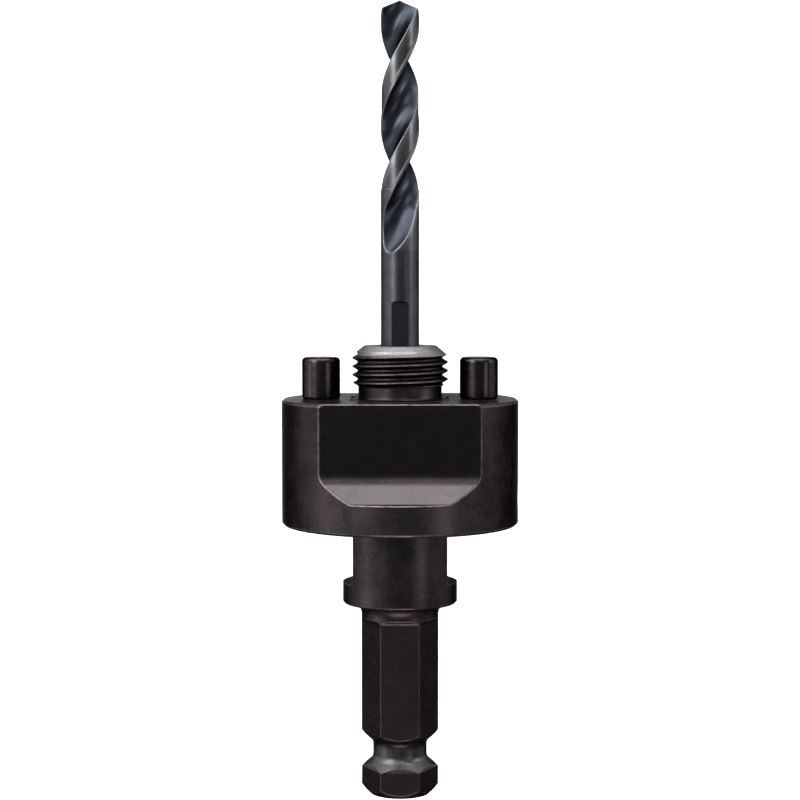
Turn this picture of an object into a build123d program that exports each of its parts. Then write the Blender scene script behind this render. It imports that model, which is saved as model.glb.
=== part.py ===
from build123d import *

import math
import os

# A hole saw arbor, in millimetres. Heights are measured along the arbor's axis from the shoulder
# that the saw's back rests on: positive towards the drill's tip, negative towards the shank's end.
# The arbor lies on a bench, front side up: +X is its right, +Y points towards the drill's tip.

# Saw thread and the relief below it, left plain at its major diameter
thread_radius = 15.875 / 2
thread_top = 8.8
thread_lead_radius = 6.05
thread_lead_height = 1.6
thread_relief_height = 2.7
thread_relief_radius = 6.92
relief_flank = 0.6
relief_fillet = 0.4

# Body with two flats for the drive plate, and the stop collar that is left full below them
body_radius = 19.05 / 2
body_flat_depth = 1.75
body_chamfer = 0.35
stop_top = -30.5
stop_bottom = -34.05
stop_chamfer = 0.3
stop_fillet_share = 0.71
stop_corner_radius = 0.5

# Hexagonal shank with a detent groove
hex_across_flats = 11.11
hex_top = -36.5
hex_runout_radius = 0.8
groove_top = -55.65
groove_bottom = -61.8
groove_floor_top = -57.4
groove_floor_bottom = -60.15
groove_radius = 4.5
groove_fillet = 1.3
shank_end = -66.25
shank_end_radius = 5.0

# Pilot drill bore, and the set screw across it
bore_clearance = 0.04
bore_chamfer = 0.4
bore_spare_depth = 0.8
bore_bottom_angle = 118
screw_height = -6.0
screw_radius = 3.0
screw_clearance = 0.05
screw_point_radius = 1.4
screw_recess = 1.2
socket_across_flats = 3.2
socket_depth = 2.6

# Drive plate, with wrench flats at its front and back
plate_radius = 19.64
plate_thickness = 20.85
plate_chamfer = 0.4
plate_bore_chamfer = 0.5
slide_clearance = 0.06
wrench_flat_depth = 4.94
wrench_flat_height = 15.7
wrench_slope_depth = 3.2
wrench_slope_length = 3.6
wrench_blend_radius = 3.0

# Drive pins
pin_radius = 6.35 / 2
pin_wall = 0.4
pin_top = 6.9
pin_round = 0.7
pin_foot_chamfer = 0.3
pin_shank_radius = 2.75
pin_depth = 12.0
pin_fit = 0.01
pin_chamfer = 0.4

# Ball plunger that holds the plate where it is put
plunger_height = -16.2
plunger_hole_radius = 2.1
plunger_seat_gap = 0.02
ball_radius = 2.0
spring_radius = 1.75
spring_wire_radius = 0.25
spring_turns = 4.5
plug_length = 3.0
plug_radius = 2.5
plug_clearance = 0.03
plug_recess = 0.5
plug_slot_width = 0.8
plug_slot_depth = 1.0

# Pilot drill
drill_radius = 6.35 / 2
drill_tip = 65.5
drill_length = 85.2
drill_end_chamfer = 0.5
point_angle = 134
lip_relief_angle = 11
flute_pitch = 33.0
flute_front_height = 30.9
flute_half_angle = 64
web_radius = 0.5
web_taper = 0.53
rake_pull = 0.6
heel_pull = 0.55
heel_lean = 0.85
web_lean = 10
margin_angle = 10
land_clearance = 0.12
clearance_overrun = 12
land_clearance_end = 34.6
runout_start = 31.0
runout_end = 24.0
runout_turn_share = 0.43
flute_step = 1.5
runout_step = 0.8
drill_flat_distance = 2.82
drill_flat_top = 16.35
drill_flat_runout_radius = 0.8
drill_rest_below_tip = 5.23
drill_rest_radius_share = 0.888

# How far a cut reaches past the surface that it opens
spare = 1.0

# The arbor rests on the upper edge of the plate's rear rim and on the drill's rear heel, so its
# axis dips towards the drill's tip.
rest_radius = drill_radius * drill_rest_radius_share
rest_distance = wrench_flat_height + drill_tip - drill_rest_below_tip
dip = math.atan2(plate_radius - rest_radius, rest_distance)
arbor = Plane((0, 0, 0), x_dir=(1, 0, 0), z_dir=(0, math.cos(dip), -math.sin(dip)))
axis = Axis(arbor.origin, arbor.z_dir)
section = Plane(arbor.origin, x_dir=arbor.x_dir, z_dir=-arbor.y_dir)
right, front, left, back = 0, -90, 180, 90


def station(height, turn=0):
    """Plane square to the axis at a height, its x turned from the right about the axis."""
    return arbor.moved(Location((0, 0, height), (0, 0, turn)))


def side_section(turn):
    """Plane through the axis, its x pointing out of the side at this turn and its y to the tip."""
    return section.moved(Location((0, 0, 0), (0, turn, 0)))


def side_hole(height, turn):
    """Plane on the axis at a height, its z pointing out of the side at this turn."""
    level = station(height, turn)
    return Plane(level.origin, x_dir=level.z_dir, z_dir=level.x_dir)


def milled_flat(distance, start, end, runout, radius):
    """What a cutter takes off a round bar: a flat at a distance from the axis, and at its end the
    cutter's own radius."""
    reach = max(radius, distance + runout) + spare
    way = math.copysign(1, end - start)
    with BuildSketch() as cut:
        with BuildLine():
            flat = Line((distance, start), (distance, end - way * runout))
            corner = JernArc(flat @ 1, flat % 1, runout, -90 * way)
            Polyline(corner @ 1, (reach, end), (reach, start), (distance, start))
        make_face()
    return cut.sketch_local


def sloped_flat(distance, start, end, slope_depth, slope_length, blend, radius):
    """What is milled off a round bar for a flat that ends in a slope with a blended foot."""
    reach = radius + spare
    with BuildSketch() as cut:
        with BuildLine():
            Polyline(
                (distance, start),
                (distance, end + slope_length),
                (distance + slope_depth, end),
                (reach, end),
                (reach, start),
                close=True,
            )
        make_face()
        foot = vertices().sort_by_distance((distance, end + slope_length))[0]
        fillet(foot, blend)
    return cut.sketch_local


def double_d(radius, across_flats):
    """Circle with flats at its left and right."""
    with BuildSketch() as outline:
        Circle(radius)
        Rectangle(across_flats, 2 * radius, mode=Mode.INTERSECT)
    return outline.sketch_local


# Arbor shaft
body_flat_distance = 2 * (body_radius - body_flat_depth)
hex_corner_radius = hex_across_flats / math.sqrt(3)
stop_fillet = stop_fillet_share * (body_radius - stop_chamfer - hex_corner_radius)
bore_radius = drill_radius + bore_clearance
bore_bottom = drill_tip - drill_length - bore_spare_depth
bore_point = bore_radius / math.tan(math.radians(bore_bottom_angle / 2))

with BuildPart() as arbor_shaft:
    with BuildSketch(section):
        with BuildLine():
            Polyline(
                (0, bore_bottom - bore_point),
                (0, shank_end),
                (shank_end_radius, shank_end),
                (hex_corner_radius, shank_end + hex_corner_radius - shank_end_radius),
                (hex_corner_radius, groove_bottom),
                (groove_radius, groove_floor_bottom),
                (groove_radius, groove_floor_top),
                (hex_corner_radius, groove_top),
                (hex_corner_radius, stop_bottom),
                (body_radius - stop_chamfer, stop_bottom),
                (body_radius, stop_bottom + stop_chamfer),
                (body_radius, -body_chamfer),
                (body_radius - body_chamfer, 0),
                (thread_relief_radius, 0),
                (thread_relief_radius, thread_relief_height - relief_flank),
                (thread_radius, thread_relief_height),
                (thread_radius, thread_top - thread_lead_height),
                (thread_lead_radius, thread_top),
                (bore_radius + bore_chamfer, thread_top),
                (bore_radius, thread_top - bore_chamfer),
                (bore_radius, bore_bottom),
                close=True,
            )
        make_face()
        groove_corners = vertices().filter_by(lambda corner: math.isclose(corner.X, groove_radius))
        fillet(groove_corners, groove_fillet)
        stop_corner = vertices().sort_by_distance((hex_corner_radius, stop_bottom))[0]
        fillet(stop_corner, stop_fillet)
        relief_corner = vertices().sort_by_distance((thread_relief_radius, 0))[0]
        fillet(relief_corner, relief_fillet)
    revolve(axis=axis)

    # Six flats make the shank a hexagon, one of them at the front
    with BuildSketch(*[side_section(front + 60 * side) for side in range(6)]):
        add(
            milled_flat(
                hex_across_flats / 2,
                shank_end - spare,
                hex_top,
                hex_runout_radius,
                hex_corner_radius,
            )
        )
    extrude(amount=hex_corner_radius, both=True, mode=Mode.SUBTRACT)

    # Two flats on the body key the drive plate
    with BuildSketch(side_section(left), side_section(right)):
        add(milled_flat(body_flat_distance / 2, spare, stop_top, stop_corner_radius, body_radius))
    extrude(amount=body_radius, both=True, mode=Mode.SUBTRACT)

    # Tapped hole for the set screw
    with BuildSketch(side_hole(screw_height, front)):
        Circle(screw_radius + screw_clearance)
    extrude(amount=body_radius + spare, mode=Mode.SUBTRACT)

# Drive plate
pin_offset = body_radius + pin_wall + pin_radius
with BuildPart() as drive_plate:
    with BuildSketch(section):
        with BuildLine():
            Polyline(
                (0, 0),
                (plate_radius - plate_chamfer, 0),
                (plate_radius, -plate_chamfer),
                (plate_radius, plate_chamfer - plate_thickness),
                (plate_radius - plate_chamfer, -plate_thickness),
                (0, -plate_thickness),
                close=True,
            )
        make_face()
    revolve(axis=axis)

    with BuildSketch(station(0)):
        add(double_d(body_radius + slide_clearance, body_flat_distance + 2 * slide_clearance))
    extrude(amount=-plate_thickness, mode=Mode.SUBTRACT)
    plate_faces = faces().filter_by(Plane(arbor.origin, z_dir=arbor.z_dir)).sort_by(axis)
    bore_edges = plate_faces[0].inner_wires()[0].edges() + plate_faces[-1].inner_wires()[0].edges()
    chamfer(bore_edges, plate_bore_chamfer)

    # Wrench flats at the front and the back, open towards the saw
    with BuildSketch(side_section(front), side_section(back)):
        add(
            sloped_flat(
                plate_radius - wrench_flat_depth,
                spare,
                -wrench_flat_height,
                wrench_slope_depth,
                wrench_slope_length,
                wrench_blend_radius,
                plate_radius,
            )
        )
    extrude(amount=plate_radius, both=True, mode=Mode.SUBTRACT)

    # Pin holes
    with BuildSketch(station(0)):
        with Locations((-pin_offset, 0), (pin_offset, 0)):
            Circle(pin_shank_radius + pin_fit)
    extrude(amount=-pin_depth, mode=Mode.SUBTRACT)

    # Plunger hole through the right side, and the plug's wider thread at its mouth
    plug_end = plate_radius - plug_recess
    with BuildSketch(side_hole(plunger_height, right)):
        Circle(plunger_hole_radius)
    extrude(amount=plate_radius, mode=Mode.SUBTRACT)
    with BuildSketch(side_hole(plunger_height, right).offset(plug_end - plug_length)):
        Circle(plug_radius + plug_clearance)
    extrude(amount=plug_length + spare, mode=Mode.SUBTRACT)


def make_drive_pin(offset):
    """Shouldered pin, its head standing on the plate and its shank pressed into it."""
    with BuildPart() as pin:
        with BuildSketch(station(0)):
            with Locations((offset, 0)):
                Circle(pin_radius)
        extrude(amount=pin_top)
        head_ends = edges().filter_by(GeomType.CIRCLE).sort_by(axis)
        chamfer(head_ends[0], pin_foot_chamfer)
        fillet(head_ends[-1], pin_round)
        with BuildSketch(station(0)):
            with Locations((offset, 0)):
                Circle(pin_shank_radius)
        extrude(amount=-pin_depth)
        chamfer(edges().filter_by(GeomType.CIRCLE).sort_by(axis)[0], pin_chamfer)
    return pin


drive_pin_left = make_drive_pin(-pin_offset)
drive_pin_right = make_drive_pin(pin_offset)

# Ball plunger in the plate: the ball bears on the body's right flat, the plug backs its spring
ball_centre = body_flat_distance / 2 + plunger_seat_gap + ball_radius
with BuildPart() as plunger_ball:
    with Locations(side_hole(plunger_height, right).offset(ball_centre)):
        Sphere(ball_radius)

coil_radius = spring_radius - spring_wire_radius
spring_start = ball_centre + math.sqrt((ball_radius + spring_wire_radius) ** 2 - coil_radius**2)
spring_end = plug_end - plug_length - spring_wire_radius
with BuildPart() as plunger_spring:
    coil_base = side_hole(plunger_height, right).offset(spring_start)
    coil_length = spring_end - spring_start
    with BuildLine():
        coil = Helix(
            coil_length / spring_turns,
            coil_length,
            coil_radius,
            center=coil_base.origin,
            direction=coil_base.z_dir,
        )
    with BuildSketch(Plane(coil @ 0, z_dir=coil % 0)):
        Circle(spring_wire_radius)
    sweep(is_frenet=True)

with BuildPart() as plunger_plug:
    with BuildSketch(side_hole(plunger_height, right).offset(plug_end - plug_length)):
        Circle(plug_radius)
    extrude(amount=plug_length)
    with BuildSketch(side_hole(plunger_height, right).offset(plug_end)):
        Rectangle(plug_slot_width, 2 * plug_radius)
    extrude(amount=-plug_slot_depth, mode=Mode.SUBTRACT)

# Set screw on the pilot drill's flat
screw_end = body_radius - screw_recess
with BuildPart() as pilot_set_screw:
    with BuildSketch(side_hole(screw_height, front).offset(drill_flat_distance)):
        Circle(screw_radius)
    extrude(amount=screw_end - drill_flat_distance)
    point_edge = edges().filter_by(GeomType.CIRCLE).sort_by_distance(arbor.origin)[0]
    chamfer(point_edge, screw_radius - screw_point_radius)
    with BuildSketch(side_hole(screw_height, front).offset(screw_end)):
        RegularPolygon(socket_across_flats / 2, 6, major_radius=False)
    extrude(amount=-socket_depth, mode=Mode.SUBTRACT)


# Pilot drill
flute_depth = drill_radius - web_radius
runout_length = runout_start - runout_end
runout_lift = flute_depth - web_taper
runout_radius = (runout_length**2 + runout_lift**2) / (2 * runout_lift)


def flute_turn(height):
    """Side that the first flute faces at a height: right-handed, and straighter where it runs
    out."""
    helix_height = max(height, runout_start)
    runout_height = (height - helix_height) * runout_turn_share
    return front + 360 * (helix_height + runout_height - flute_front_height) / flute_pitch


def flute_lift(height):
    """How far the grinding wheel stands off its full depth at a height: the web thickens towards
    the shank, and then the wheel's own radius lifts it out."""
    if height > runout_start:
        return web_taper * (drill_tip - height) / (drill_tip - runout_start)
    drop = runout_start - height
    return web_taper + runout_radius - math.sqrt(runout_radius**2 - drop**2)


def polar(radius, turn):
    """Point at a distance from the axis, in the direction of a turn."""
    return Vector(radius, 0).rotate(Axis.Z, turn)


def flute_section():
    """What the grinding wheel takes out for a flute that faces along x."""
    reach = drill_radius + spare
    corner = polar(drill_radius, -flute_half_angle)
    rake = polar(drill_radius - rake_pull * flute_depth, -flute_half_angle)
    web = polar(web_radius, -web_lean)
    heel = polar(drill_radius - heel_pull * flute_depth, heel_lean * flute_half_angle)
    heel_end = polar(drill_radius, flute_half_angle)
    root = (web * 16 - corner - rake * 4 - heel * 4 - heel_end) / 6
    with BuildSketch() as wheel:
        with BuildLine():
            Bezier(corner, rake, root, heel, heel_end)
            outer = CenterArc((0, 0), reach, -flute_half_angle, 2 * flute_half_angle)
            Line(corner, outer @ 0)
            Line(heel_end, outer @ 1)
        make_face()
    return wheel.sketch_local


def edge_angle(height):
    """Angle at a height from a flute's middle to the edge that leads the land beside it."""
    shift = flute_lift(height) * math.sin(math.radians(flute_half_angle)) / drill_radius
    return flute_half_angle - math.degrees(math.asin(shift))


def clearance_section(edge):
    """What is ground off a land behind its margin, with the first flute facing along x."""
    start = edge - clearance_overrun
    angle = 180 - margin_angle - edge - start
    floor = drill_radius - land_clearance
    with BuildSketch() as band:
        with BuildLine():
            inner = CenterArc((0, 0), floor, start, angle)
            outer = CenterArc((0, 0), drill_radius + spare, start, angle)
            Line(inner @ 0, outer @ 0)
            Line(inner @ 1, outer @ 1)
        make_face()
    return band.sketch_local


def heights(low, high, step):
    """Evenly spaced heights from low to high, about a step apart."""
    count = math.ceil((high - low) / step)
    return [low + (high - low) * index / count for index in range(count + 1)]


flute_heights = heights(runout_end - runout_step, runout_start, runout_step)
flute_heights += heights(runout_start, drill_tip + spare, flute_step)[1:]
clearance_heights = heights(land_clearance_end, drill_tip + spare, flute_step)

with BuildPart() as pilot_drill:
    with BuildSketch(station(drill_tip - drill_length)):
        Circle(drill_radius)
    extrude(amount=drill_length)
    chamfer(edges().filter_by(GeomType.CIRCLE).sort_by(axis)[0], drill_end_chamfer)
    for side in (0, 180):
        for height in flute_heights:
            with BuildSketch(station(height, flute_turn(height) + side)):
                with Locations((flute_lift(height), 0)):
                    add(flute_section())
        loft(mode=Mode.SUBTRACT)
        for height in clearance_heights:
            with BuildSketch(station(height, flute_turn(height) + side)):
                add(clearance_section(edge_angle(height)))
        loft(mode=Mode.SUBTRACT)

    # Two flat flanks fall away from the lips, outwards and behind
    droop = 90 - point_angle / 2
    corner_turn = flute_turn(drill_tip - drill_radius * math.tan(math.radians(droop)))
    lip_turn = corner_turn - flute_half_angle - math.degrees(math.asin(web_radius / drill_radius))
    for side in (0, 180):
        lip = station(drill_tip, lip_turn + side)
        flank = lip.moved(Location((0, web_radius, 0), (lip_relief_angle, droop, 0)))
        with BuildSketch(flank):
            Rectangle(6 * drill_radius, 6 * drill_radius)
        extrude(amount=2 * drill_radius, mode=Mode.SUBTRACT)

    # Flat for the set screw
    with BuildSketch(side_section(front)):
        add(
            milled_flat(
                drill_flat_distance,
                drill_tip - drill_length - spare,
                drill_flat_top,
                drill_flat_runout_radius,
                drill_radius,
            )
        )
    extrude(amount=drill_radius, both=True, mode=Mode.SUBTRACT)

pieces = {
    "arbor_shaft": arbor_shaft,
    "drive_plate": drive_plate,
    "drive_pin_left": drive_pin_left,
    "drive_pin_right": drive_pin_right,
    "plunger_ball": plunger_ball,
    "plunger_spring": plunger_spring,
    "plunger_plug": plunger_plug,
    "pilot_set_screw": pilot_set_screw,
    "pilot_drill": pilot_drill,
}
os.makedirs("parts", exist_ok=True)
for name, piece in pieces.items():
    piece.part.label = name
    export_step(piece.part, f"parts/{name}.step")
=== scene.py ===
"""A hole saw arbor with its pilot drill, lying on a pale bench."""

import math

import bpy
from mathutils import Matrix, Vector


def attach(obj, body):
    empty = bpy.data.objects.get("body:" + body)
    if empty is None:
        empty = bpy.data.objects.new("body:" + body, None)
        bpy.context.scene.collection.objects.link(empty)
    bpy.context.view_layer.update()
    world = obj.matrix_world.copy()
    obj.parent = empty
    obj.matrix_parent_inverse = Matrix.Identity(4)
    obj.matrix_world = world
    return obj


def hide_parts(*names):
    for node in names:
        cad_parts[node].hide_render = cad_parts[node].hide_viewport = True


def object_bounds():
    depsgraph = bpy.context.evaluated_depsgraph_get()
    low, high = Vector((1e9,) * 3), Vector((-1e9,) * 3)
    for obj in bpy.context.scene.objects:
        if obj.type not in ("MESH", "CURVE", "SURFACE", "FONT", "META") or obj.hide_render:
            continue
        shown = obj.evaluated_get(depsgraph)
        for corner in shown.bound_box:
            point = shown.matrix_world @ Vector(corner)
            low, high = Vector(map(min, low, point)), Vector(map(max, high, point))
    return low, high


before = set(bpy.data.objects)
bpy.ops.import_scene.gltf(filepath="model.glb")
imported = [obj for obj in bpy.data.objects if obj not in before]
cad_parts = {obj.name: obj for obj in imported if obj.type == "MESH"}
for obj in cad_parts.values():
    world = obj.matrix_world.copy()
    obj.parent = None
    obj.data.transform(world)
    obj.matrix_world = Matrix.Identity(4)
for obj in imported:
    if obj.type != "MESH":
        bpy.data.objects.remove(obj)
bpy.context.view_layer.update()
bpy.ops.object.select_all(action="DESELECT")

# Sizes, in millimetres, in the arbor's own frame: Z up its axis towards the drill's tip, nought at
# the shoulder that the saw's back rests on, and -Y towards the camera.
MM = 0.001

PLATE_RADIUS = 19.64
WRENCH_FLAT = 14.7  # from the axis to a wrench flat
WRENCH_FOOT = -15.7  # height of the foot of a wrench flat's slope

HEX_TOP, HEX_FACE, HEX_HALF_SIDE = -36.5, 5.55, 3.2  # face: from the axis, half side: across it
NECK_TOP, NECK_FOOT, GROOVE_FOOT = -57.4, -60.15, -61.8  # of the detent groove
LEAD_IN_FOOT = 7.2

THREAD_RADIUS = 7.9375
THREAD_PITCH = 25.4 / 18
THREAD_DEPTH = 0.6134 * THREAD_PITCH
THREAD_CREST = 0.44  # height of a crest on the arbor's right-hand side
THREAD_TURNS, STEPS_PER_TURN = 6, 120

DRILL_RADIUS, DRILL_TIP = 3.175, 65.5
FLUTE_PITCH, FLUTE_END = 33.0, 24.0
LAND_CLEARANCE, LAND_END = 0.12, 34.6  # how far the land is ground back, and from which height up
LAND_START = -4.0  # a place in a flute just before a land, on the scale of lead below
DRILL_FLAT_TOP = 16.35  # upper end of the flat that the set screw presses on

# It lies on the rim below a wrench flat and on the heel of a land near the drill's tip.
HEEL_SHARE, HEEL_BELOW_TIP = 0.888, 5.23
DIP = math.atan2(PLATE_RADIUS - DRILL_RADIUS * HEEL_SHARE, DRILL_TIP - HEEL_BELOW_TIP - WRENCH_FOOT)
LAY = Matrix.Rotation(-(math.pi / 2 + DIP), 4, "X")  # from the arbor's own frame to the bench's


def bench(right, up, front):
    """A point of the arbor's own frame, in metres on the bench."""
    return LAY @ Vector((right * MM, -front * MM, up * MM))


# Camera and light

def look_at(thing, place, target, up):
    """Puts a lamp or the camera at a place, turned to a target, with its top towards up."""
    back = (place - target).normalized()
    side = up.cross(back).normalized()
    top = back.cross(side)
    thing.matrix_world = Matrix(((side.x, top.x, back.x, place.x), (side.y, top.y, back.y, place.y),
                                 (side.z, top.z, back.z, place.z), (0, 0, 0, 1)))


ALONG = bench(0, 1, 0).normalized()

bpy.ops.object.camera_add()
camera = bpy.context.object
camera.name = "camera"
look_at(camera, bench(0, 22.3, 340), bench(0, -0.25, 0), ALONG)
camera.data.lens = 92.3
camera.data.sensor_width = 36
camera.data.clip_start = 0.01
bpy.context.scene.camera = camera


def softbox(name, place, size, power, target=(0, 0, 0)):
    """A studio softbox: place and target in the arbor's own frame, size across and along it."""
    bpy.ops.object.light_add(type="AREA")
    lamp = bpy.context.object
    lamp.name = name
    lamp.data.shape = "RECTANGLE"
    lamp.data.size, lamp.data.size_y = (s * MM for s in size)
    lamp.data.energy = power
    look_at(lamp, bench(*place), bench(*target), ALONG)


MID_DRILL = (0, 45, 0)
softbox("left_softbox", (-390, -130, 140), (150, 300), 0.45)
softbox("right_softbox", (270, -70, 300), (90, 140), 0.2)
softbox("left_pin_softbox", (-275, 95, 305), (150, 160), 1.0)
softbox("right_pin_softbox", (386, 95, 104), (90, 160), 0.45)
softbox("flute_softbox", (-310, 260, 150), (540, 180), 2.3, MID_DRILL)
softbox("front_flute_softbox", (60, 240, 330), (170, 110), 0.35, MID_DRILL)
softbox("tip_softbox", (0, 400, 70), (560, 200), 4.6)
softbox("shank_softbox", (0, -380, 220), (260, 160), 1.0)

bpy.context.scene.view_settings.view_transform = "Standard"


# Finishes

class Value:
    """A node's output, with arithmetic that adds the Math nodes."""

    def __init__(self, look, socket):
        self.look, self.socket = look, socket

    def __add__(self, other): return self.look.maths("ADD", self, other)
    def __sub__(self, other): return self.look.maths("SUBTRACT", self, other)
    def __mul__(self, other): return self.look.maths("MULTIPLY", self, other)
    def __truediv__(self, other): return self.look.maths("DIVIDE", self, other)
    def __radd__(self, other): return self.look.maths("ADD", other, self)
    def __rsub__(self, other): return self.look.maths("SUBTRACT", other, self)


class Look:
    """The nodes of a material or of the room, and the one way in which they are made."""

    def __init__(self, owner, shader):
        owner.use_nodes = True
        self.owner, self.tree = owner, owner.node_tree
        self.shader = self.tree.nodes[shader]

    def node(self, kind, settings=None, inputs=None, out=0):
        """Adds a node: its settings first, then the values or links of its sockets."""
        new = self.tree.nodes.new("ShaderNode" + kind)
        for name, value in (settings or {}).items():
            setattr(new, name, value)
        for name, value in (inputs or {}).items():
            self.link(new.inputs[name], value)
        return Value(self, new.outputs[out])

    def link(self, socket, value):
        """Feeds a socket with another node's output, a colour or a plain number."""
        if isinstance(value, Value):
            self.tree.links.new(value.socket, socket)
        elif socket.type == "RGBA" and len(value) == 3:
            socket.default_value = (*value, 1)
        else:
            socket.default_value = value

    def finish(self, **sockets):
        """Feeds the shader's sockets, and gives back the material or the room."""
        for name, value in sockets.items():
            self.link(self.shader.inputs[name.replace("_", " ")], value)
        return self.owner

    def maths(self, operation, *values):
        """One Math node."""
        return self.node("Math", {"operation": operation}, dict(enumerate(values)))

    def ramp(self, value, low, high, first=0.0, last=1.0, curve="SMOOTHSTEP"):
        """First below low, last above high, and a step between them. High may be below low."""
        return self.node("MapRange", {"interpolation_type": curve},
                         {"Value": value, "From Min": low, "From Max": high,
                          "To Min": first, "To Max": last})

    def mix(self, share, first, second):
        """Two colours mixed, with this share of the second."""
        return self.node("Mix", {"data_type": "RGBA"}, {0: share, 6: first, 7: second}, out=2)

    def noise(self, place, scale, detail=2.0, rough=0.5):
        """Cloudy noise round a half: the scale is in clouds to a unit of the place."""
        return self.node("TexNoise", None, {"Vector": place, "Scale": scale, "Detail": detail,
                                            "Roughness": rough})

    def own_frame(self):
        """The place on the piece in the arbor's own frame, in millimetres."""
        place = self.node("TexCoord", out=3)
        return self.node("Mapping", None, {"Vector": place, "Rotation": (math.pi / 2 + DIP, 0, 0),
                                           "Scale": (1 / MM, 1 / MM, 1 / MM)})

    def parts(self, vector):
        """The three parts of a vector."""
        return [self.node("SeparateXYZ", None, {"Vector": vector}, out=n) for n in range(3)]

    def vector(self, x, y, z):
        """A vector of three parts."""
        return self.node("CombineXYZ", None, {0: x, 1: y, 2: z})

    def measured(self):
        """Keeps the place on the piece, its parts and its distance from the arbor's axis."""
        self.place = self.own_frame()
        self.x, self.y, self.z = self.parts(self.place)
        self.radius = self.maths("SQRT", self.x * self.x + self.y * self.y)
        return self

    def edges(self, radius):
        """1 on the edges of the piece, from how far a rounded edge turns the surface, and the
        surface so rounded."""
        rounded = self.node("Bevel", {"samples": 6}, {"Radius": radius * MM})
        plain = self.node("NewGeometry", out=1)
        same = self.node("VectorMath", {"operation": "DOT_PRODUCT"}, {0: rounded, 1: plain}, out=1)
        return self.ramp(1 - same, 0.01, 0.10), rounded

    def rays(self):
        """1 where the camera itself looks, and 1 where something mirrors."""
        return self.node("LightPath", out=0), self.node("LightPath", out=3)


def painted(name):
    """A new material, still plain."""
    return Look(bpy.data.materials.new(name), "Principled BSDF")


# Colours of the blackened steel
BLACK, BROWN, VIOLET = (0.020, 0.0168, 0.0178), (0.032, 0.0245, 0.0250), (0.036, 0.033, 0.037)
# The shank's brown is its own tone lifted with painted light; its black is painted shade on the
# shank's side faces.
SHANK_BROWN_LIT, SHANK_SIDE_SHADE = (0.040, 0.0290, 0.0285), (0.0205, 0.0190, 0.0190)
# The last of these is painted shade on the wrench flats.
SPECK, GRAIN, WRENCH_FLAT_SHADE = (0.052, 0.045, 0.048), (0.045, 0.040, 0.040), (0.0155, 0.0132, 0.0147)
# The first two are painted highlights.
CUT_HIGHLIGHT, TURNED_HIGHLIGHT, WORN = (0.053, 0.049, 0.049), (0.32, 0.315, 0.34), (0.27, 0.235, 0.23)


def black_oxide(name, gloss=0.36, worn=0.3, bright=None, highlight_colour=CUT_HIGHLIGHT, shaded=None, oiled=None):
    """Blackened steel: near black, cloudy with brown and violet, worn along its edges. The
    hexagonal shank is browner and lighter on its front and back, its own tone with painted light,
    and darker on its side faces, which is painted shade. Worn is the reach of that wear in
    millimetres. Bright, smooth and oiled give the shares of painted highlight, of painted shade
    that also evens the surface, and of a film of oil."""
    f = painted(name).measured()
    place, x, z, radius = f.place, f.x, f.z, f.radius
    clouds = f.ramp(f.noise(place, 0.16, 3.0), 0.35, 0.68)
    patches = f.ramp(f.noise(place, 0.55, 4.0, 0.6), 0.40, 0.70)
    grain = f.noise(place, 4.5, 3.0, 0.65)
    lathe = f.noise(f.vector(radius * 5.0, x * 0.05, z * 5.0), 1.0, 3.0, 0.6)
    specks = f.ramp(f.noise(place, 2.0, 3.0, 0.6), 0.48, 0.72)
    shank = f.ramp(z, HEX_TOP + 0.5, HEX_TOP - 1) * f.ramp(radius, HEX_FACE - 0.35, HEX_FACE - 0.05)
    shaded_sides = shank * f.ramp(f.maths("ABSOLUTE", x), HEX_HALF_SIDE - 0.05, HEX_HALF_SIDE + 0.15)
    wear, rounded = f.edges(worn)
    above_plate = f.ramp(z, 2.0, 3.0)
    wear = wear * f.ramp(f.noise(place, 0.9, 3.0), 0.20, 0.60) * (1 - shank * 0.7) * (
        1 - above_plate * 0.4)
    colour = f.mix(clouds, BLACK, BROWN)
    colour = f.mix(patches * 0.35, colour, VIOLET)
    # Painted light on the front and back of the hexagonal shank, over its browner tone, then
    # painted shade on its side faces.
    colour = f.mix(shank * 0.6, colour, SHANK_BROWN_LIT)
    colour = f.mix(shaded_sides * 0.6, colour, SHANK_SIDE_SHADE)
    colour = f.mix(specks * 0.35, colour, SPECK)
    colour = f.mix(f.ramp(grain, 0.55, 0.75) * 0.25, colour, GRAIN)
    # Painted shade, which also evens the colour, where the surface is given as shaded.
    if shaded:
        flat_shade = shaded(f)
        wear = wear * (1 - flat_shade * 0.7)
        colour = f.mix(flat_shade * 0.85, colour, WRENCH_FLAT_SHADE)
    # Painted highlights where they are given.
    if bright:
        highlight_share = bright(f) * (0.3 + f.ramp(grain, 0.2, 0.8) * 0.55)
        colour = f.mix(highlight_share, colour, highlight_colour)
    if oiled:
        f.finish(Coat_Weight=oiled(f) * 0.17, Coat_Roughness=0.3)
    colour = f.mix(wear * 0.6, colour, WORN)
    rough = gloss + (grain - 0.5) * 0.16 + (lathe - 0.5) * 0.10 + patches * 0.05
    bump = f.node("Bump", None, {"Height": grain * 0.5 + lathe * 0.5, "Strength": 0.35,
                                 "Distance": 0.012 * MM, "Normal": rounded})
    return f.finish(Base_Color=colour, Roughness=rough, Metallic=1.0, Normal=bump,
                    Specular_Tint=(0.16, 0.19, 0.19))


# Colours of the drill, each pair with its darker clouds first
FLUTE = (0.018, 0.0213, 0.0262), (0.0255, 0.031, 0.0385)
LAND = (0.050, 0.050, 0.053), (0.066, 0.061, 0.062)
SHANK = (0.035, 0.037, 0.042), (0.045, 0.047, 0.053)
# The last of these is painted shade at the top end of the flat.
GROUND_LINE, CLAMPED, FLAT_END_SHADE = (0.060, 0.066, 0.077), (0.027, 0.030, 0.035), (0.004, 0.004, 0.005)
# The first of these is a painted highlight along the heel of each land.
HEEL_HIGHLIGHT, MARGIN, BARE_EDGE = (0.105, 0.112, 0.125), (0.12, 0.12, 0.125), (0.19, 0.195, 0.21)


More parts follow.
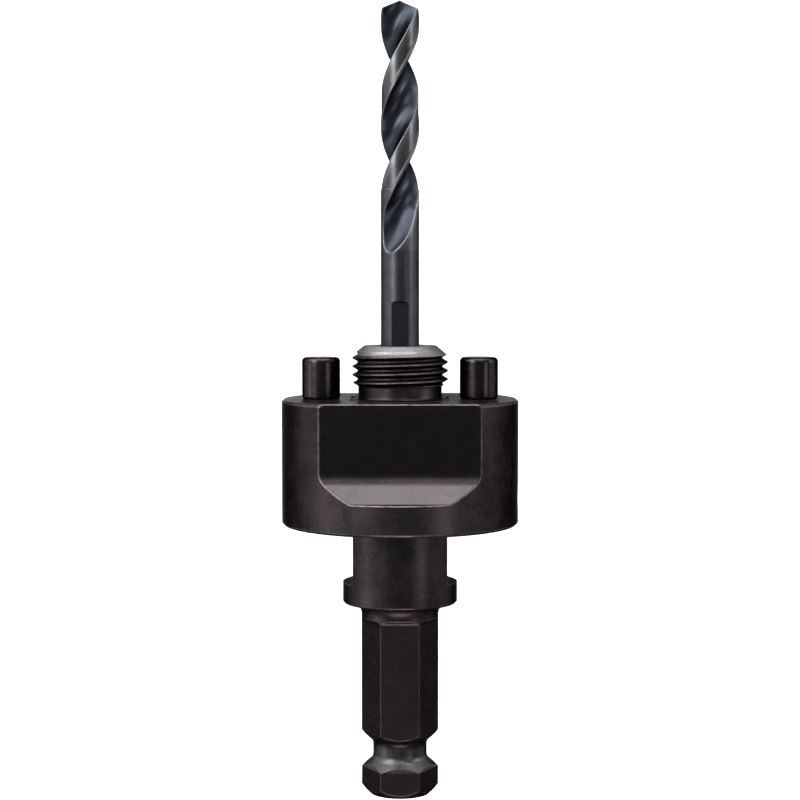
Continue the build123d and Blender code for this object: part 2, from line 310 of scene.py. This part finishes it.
def drill_oxide(name):
    """Steam-oxidised drill steel: blue in the flutes, brownish on the lands, bright margins, with a
    painted highlight along the heel of each land and painted shade at the top end of the flat.
    """
    f = painted(name).measured()
    place, z, radius = f.place, f.z, f.radius
    land_radius = DRILL_RADIUS - LAND_CLEARANCE
    outside = f.ramp(radius, land_radius - 0.09, land_radius - 0.03)
    fluted = f.ramp(z, FLUTE_END, FLUTE_END + 1)
    cleared = f.ramp(z, LAND_END, LAND_END + 1)
    margin = f.ramp(radius, DRILL_RADIUS - 0.07, DRILL_RADIUS - 0.03) * cleared
    # The lead is the same all along a line that winds up the drill. Across a land, it goes from
    # -0.9 at the heel to 5.2 at the margin.
    lead = f.maths("ARCTAN2", f.y, f.x) * FLUTE_PITCH / (2 * math.pi) - z
    across = f.maths("WRAP", lead, LAND_START + FLUTE_PITCH / 2, LAND_START)
    # Painted highlight along the heel of each land.
    heel = outside * fluted * f.ramp(across, 1.6, -0.2)
    margin_side = f.ramp(across, 2.4, 3.2) * cleared
    land_foot = f.ramp(f.maths("ABSOLUTE", z - LAND_END), 0.45, 0.15)
    flat = f.ramp(radius, DRILL_RADIUS - 0.025, DRILL_RADIUS - 0.045) * (
        f.ramp(z, DRILL_FLAT_TOP + 0.65, DRILL_FLAT_TOP + 0.25))
    # Painted shade at the top end of the flat.
    flat_end_shade = flat * f.ramp(z, DRILL_FLAT_TOP - 0.55, DRILL_FLAT_TOP - 0.35)
    ground = f.noise(f.vector(lead * 4.0, radius * 4.0, z * 0.08), 1.0, 2.0, 0.5)
    clouds = f.ramp(f.noise(place, 0.35, 3.0), 0.35, 0.65)
    grain = f.noise(place, 6.0, 3.0, 0.6)
    wear, rounded = f.edges(0.32)
    wear = wear * fluted * (1 - margin_side * 0.7) * (1 - land_foot * 0.6)
    outer = f.mix(fluted, f.mix(clouds, *SHANK), f.mix(clouds, *LAND))
    colour = f.mix(outside, f.mix(clouds, *FLUTE), outer)
    colour = f.mix(flat, colour, CLAMPED)
    colour = f.mix(f.ramp(ground, 0.40, 0.75) * 0.15, colour, GROUND_LINE)
    colour = f.mix(heel * 0.7, colour, HEEL_HIGHLIGHT)
    colour = f.mix(margin * 0.2, colour, MARGIN)
    colour = f.mix(flat_end_shade * 0.9, colour, FLAT_END_SHADE)
    colour = f.mix(wear * 0.5, colour, BARE_EDGE)
    rough = 0.36 - (1 - outside) * fluted * 0.04 + (grain - 0.5) * 0.12 + (ground - 0.5) * 0.08
    bump = f.node("Bump", None, {"Height": grain * 0.6 + ground * 0.4, "Strength": 0.3,
                                 "Distance": 0.01 * MM, "Normal": rounded})
    return f.finish(Base_Color=colour, Roughness=rough, Metallic=1.0, Normal=bump,
                    Specular_Tint=(0.3, 0.3, 0.32))


def bright_steel(name):
    """Plain ground steel, for the ball and the spring inside the plate."""
    f = painted(name)
    grain = f.noise(f.own_frame(), 5.0, 3.0)
    colour = f.mix(f.ramp(grain, 0.35, 0.7), (0.42, 0.42, 0.43), (0.60, 0.60, 0.61))
    return f.finish(Base_Color=colour, Roughness=0.22 + (grain - 0.5) * 0.2, Metallic=1.0)


def bench_top(name):
    """The pale bench: it shows white to the camera, keeps a soft shadow and hardly mirrors."""
    f = painted(name)
    cloud = f.noise(f.node("TexCoord", out=3), 3.0, 2.0)
    colour = f.mix(f.ramp(cloud, 0.3, 0.7), (0.86, 0.86, 0.86), (0.90, 0.90, 0.90))
    seen, mirrored = f.rays()
    return f.finish(Base_Color=colour, Roughness=0.9, Emission_Color=(1, 1, 1),
                    Emission_Strength=seen * 0.7 + mirrored * 0.03)


def studio_room():
    """The room: white paper along the horizon, dimmer to the right, a dim ceiling above the camera,
    a plain glow for all that does not mirror, and white where the camera itself looks."""
    f = Look(bpy.data.worlds.new("studio"), "Background")
    across, _, up = f.parts(f.node("TexCoord"))
    walls = f.ramp(up, 0.10, 0.55, 1.0, 0.28) * f.ramp(across, -0.2, 0.7, 1.0, 0.55, "LINEAR")
    seen, mirrored = f.rays()
    glow = 0.3
    light = glow + mirrored * (walls - glow)
    bpy.context.scene.world = f.finish(Color=(1, 1, 1), Strength=f.maths("MAXIMUM", seen, light))


studio_room()
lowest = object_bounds()[0][2]
bpy.ops.mesh.primitive_plane_add(size=6, location=(0, 0, lowest))
floor = bpy.context.object
floor.name = "bench_top"
bpy.ops.object.transform_apply()
floor.data.materials.append(bench_top("bench_paint"))
bpy.ops.object.select_all(action="DESELECT")


def within_rim(f):
    """A wrench flat's own surface, just short of the rim that it is cut into."""
    return f.ramp(f.radius, PLATE_RADIUS - 0.1, PLATE_RADIUS - 0.3)


def plate_highlights(f):
    """Painted highlights on the cutter's run-out at the foot of the wrench flats and on the rim's
    top corner, and a lighter strip below the run-out."""
    depth = f.maths("ABSOLUTE", f.y)
    slope = f.ramp(depth, WRENCH_FLAT + 0.04, WRENCH_FLAT + 1.04) * (
        f.ramp(f.z, WRENCH_FOOT - 0.1, WRENCH_FOOT + 0.1) * within_rim(f))
    strip = f.ramp(depth, PLATE_RADIUS - 2.14, PLATE_RADIUS - 1.14) * (
        f.ramp(f.z, WRENCH_FOOT - 0.2, WRENCH_FOOT - 0.6))
    corner = f.ramp(f.radius, PLATE_RADIUS - 0.7, PLATE_RADIUS - 0.4) * f.ramp(f.z, -0.7, -0.4)
    return slope + strip * 0.4 + corner


def plate_oil(f):
    """The plate's top face."""
    return f.ramp(f.z, -0.4, -0.05)


def plate_flat_shade(f):
    """Painted shade on the wrench flats themselves, with their colour made even."""
    return f.ramp(f.maths("ABSOLUTE", f.y), WRENCH_FLAT + 0.2, WRENCH_FLAT + 0.05) * (
        f.ramp(f.z, -0.05, -0.25) * within_rim(f))


def shaft_highlights(f):
    """Painted highlights on the detent groove's lower flank and neck, and on the lead-in on top of
    the thread.
    """
    flank = f.ramp(f.z, NECK_FOOT + 0.75, NECK_FOOT + 0.15) * 0.17
    neck = f.ramp(f.z, NECK_TOP - 0.2, NECK_TOP - 1) * 0.11
    groove = f.ramp(f.z, GROOVE_FOOT - 0.2, GROOVE_FOOT + 0.2) * (flank + neck)
    return groove + f.ramp(f.z, LEAD_IN_FOOT - 0.1, LEAD_IN_FOOT + 0.2)


oxide = black_oxide("black_oxide")
pin_oxide = black_oxide("pin_black_oxide", gloss=0.24)
plate_oxide = black_oxide("plate_black_oxide", worn=0.45, bright=plate_highlights,
                          shaded=plate_flat_shade, oiled=plate_oil)
shaft_oxide = black_oxide("shaft_black_oxide", bright=shaft_highlights, highlight_colour=TURNED_HIGHLIGHT)
drill = drill_oxide("steam_oxide")
ground_steel = bright_steel("ground_steel")
FINISH_OF = {"arbor_shaft": shaft_oxide, "drive_plate": plate_oxide, "pilot_drill": drill,
             "drive_pin_left": pin_oxide, "drive_pin_right": pin_oxide,
             "plunger_ball": ground_steel, "plunger_spring": ground_steel}
for name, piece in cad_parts.items():
    piece.data.materials.clear()
    piece.data.materials.append(FINISH_OF.get(name, oxide))


# Tools of the workshop

def active(piece):
    """Selects this piece alone."""
    bpy.ops.object.select_all(action="DESELECT")
    piece.select_set(True)
    bpy.context.view_layer.objects.active = piece


def edit(piece, mode="VERT"):
    """Opens a piece for modelling, all selected."""
    active(piece)
    bpy.ops.object.mode_set(mode="EDIT")
    bpy.ops.mesh.select_mode(type=mode)
    bpy.ops.mesh.select_all(action="SELECT")


def done():
    """Closes the piece that is open."""
    bpy.ops.object.mode_set(mode="OBJECT")


def outline(name, points):
    """A chain of edges through points (radius, height), in millimetres, standing on X and Z."""
    bpy.ops.mesh.primitive_plane_add(size=MM, location=(0, 0, 0))
    piece = bpy.context.object
    piece.name = name
    edit(piece)
    bpy.ops.mesh.merge(type="CENTER")
    bpy.ops.transform.translate(value=(points[0][0] * MM, 0, points[0][1] * MM))
    for (r0, z0), (r1, z1) in zip(points, points[1:]):
        bpy.ops.mesh.extrude_vertices_move(
            TRANSFORM_OT_translate={"value": ((r1 - r0) * MM, 0, (z1 - z0) * MM)})
    done()
    return piece


def apply(piece, kind, **settings):
    """Adds a modifier with its settings and applies it."""
    active(piece)
    modifier = piece.modifiers.new(kind.lower(), kind)
    for name, value in settings.items():
        setattr(modifier, name, value)
    bpy.ops.object.modifier_apply(modifier=modifier.name)


def thread_cutter(name, radius, pitch, depth, start, turns):
    """The tool that cuts a right-hand thread: one groove's section, swept up its helix from the
    height at which it starts on the right-hand side."""
    crest, proud = pitch / 8, 0.06  # a crest's flat, and how far the tool stands out of the crests
    slope = math.tan(math.radians(30))
    half_top = (pitch - crest) / 2 + proud * slope
    half_root = half_top - (depth + proud) * slope
    root, top = radius - depth, radius + proud
    corner, rise, floor_share = 0.07, 0.04, 0.55  # of the root, which is rounded
    half_floor = half_root * floor_share
    piece = outline(name, [(top, start - half_top), (root + corner, start - half_root - rise),
                           (root, start - half_floor), (root, start + half_floor),
                           (root + corner, start + half_root + rise), (top, start + half_top)])
    edit(piece)
    bpy.ops.mesh.edge_face_add()
    bpy.ops.mesh.delete(type="ONLY_FACE")
    done()
    steps = STEPS_PER_TURN * turns
    apply(piece, "SCREW", angle=2 * math.pi * turns, screw_offset=pitch * turns * MM, steps=steps,
          render_steps=steps, iterations=1, use_merge_vertices=False)
    edit(piece, "EDGE")
    bpy.ops.mesh.select_all(action="DESELECT")
    bpy.ops.mesh.select_non_manifold(extend=False)
    bpy.ops.mesh.edge_face_add()
    bpy.ops.mesh.select_all(action="SELECT")
    bpy.ops.mesh.normals_make_consistent(inside=False)
    done()
    return piece


def stood_up(name, node):
    """A merged copy of a CAD node's mesh, stood up in the arbor's own frame."""
    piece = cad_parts[node].copy()
    piece.data = piece.data.copy()
    piece.name = name
    piece.parent = None
    for key in list(piece.keys()):
        del piece[key]
    bpy.context.scene.collection.objects.link(piece)
    piece.data.transform(LAY.inverted())
    edit(piece)
    bpy.ops.mesh.customdata_custom_splitnormals_clear()
    bpy.ops.mesh.remove_doubles(threshold=0.002 * MM)
    done()
    return piece


def laid_down(piece, body, slot, *nodes):
    """Lays a finished piece on the bench and puts it in its place on a body."""
    piece.data.transform(LAY)
    active(piece)
    bpy.ops.object.shade_smooth_by_angle(angle=math.radians(28))
    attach(piece, body)
    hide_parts(*nodes)


# The arbor, with its saw thread cut

arbor = stood_up("threaded_arbor", "arbor_shaft")
cutter = thread_cutter("thread_cutter", THREAD_RADIUS, THREAD_PITCH, THREAD_DEPTH,
                       THREAD_CREST + THREAD_PITCH / 2, THREAD_TURNS)
apply(arbor, "BOOLEAN", operation="DIFFERENCE", object=cutter, solver="EXACT")
bpy.data.objects.remove(cutter)
laid_down(arbor, "arbor", "black_oxide_steel", "arbor_shaft")
